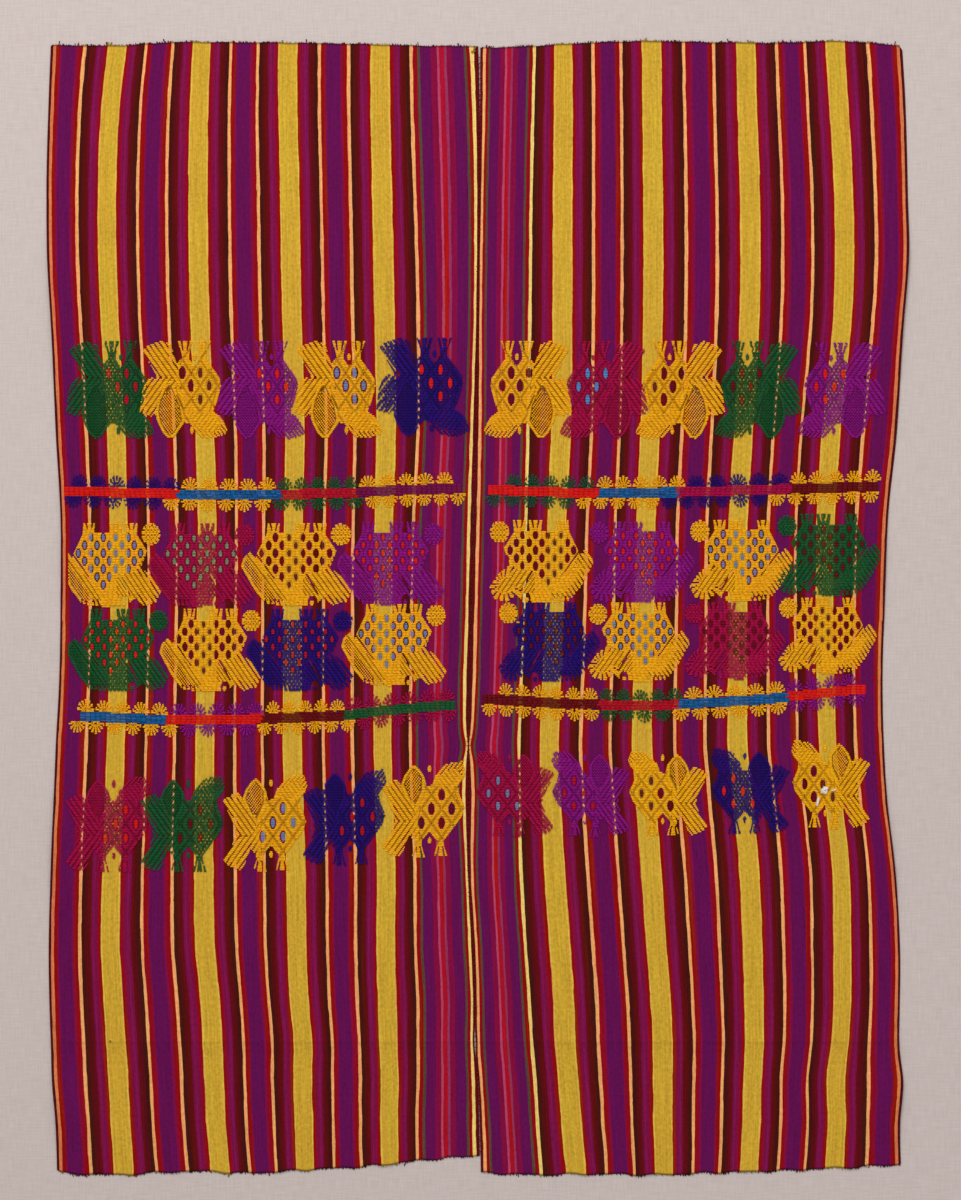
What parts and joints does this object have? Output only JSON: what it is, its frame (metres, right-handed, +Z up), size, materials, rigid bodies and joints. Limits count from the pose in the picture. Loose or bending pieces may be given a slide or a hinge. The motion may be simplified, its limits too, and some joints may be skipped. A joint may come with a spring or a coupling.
{
  "type": "huipil blouse",
  "caption": "Two-web handwoven huipil opened out flat, warp-striped, with brocaded rows of birds and bars and a neck slit in the centre seam",
  "frame": {"origin": "centre of the bounding box on the surface the cloth rests on", "axes": "+X from the left web to the right web as seen from above, +Y along the warp from the front hem to the back hem, +Z up from the surface"},
  "size_m": [0.7626, 1.0019, 0.0042],
  "materials": {
    "striped_cotton_left": "matt warp-faced handwoven cotton in purple, red, maroon and yellow stripes, brocaded with cotton and silky yarn",
    "striped_cotton_right": "matt warp-faced handwoven cotton in purple, red, maroon and yellow stripes, brocaded with cotton and silky yarn"
  },
  "bodies": {
    "root": {"left_web": "striped_cotton_left", "right_web": "striped_cotton_right"}
  },
  "joints": []
}
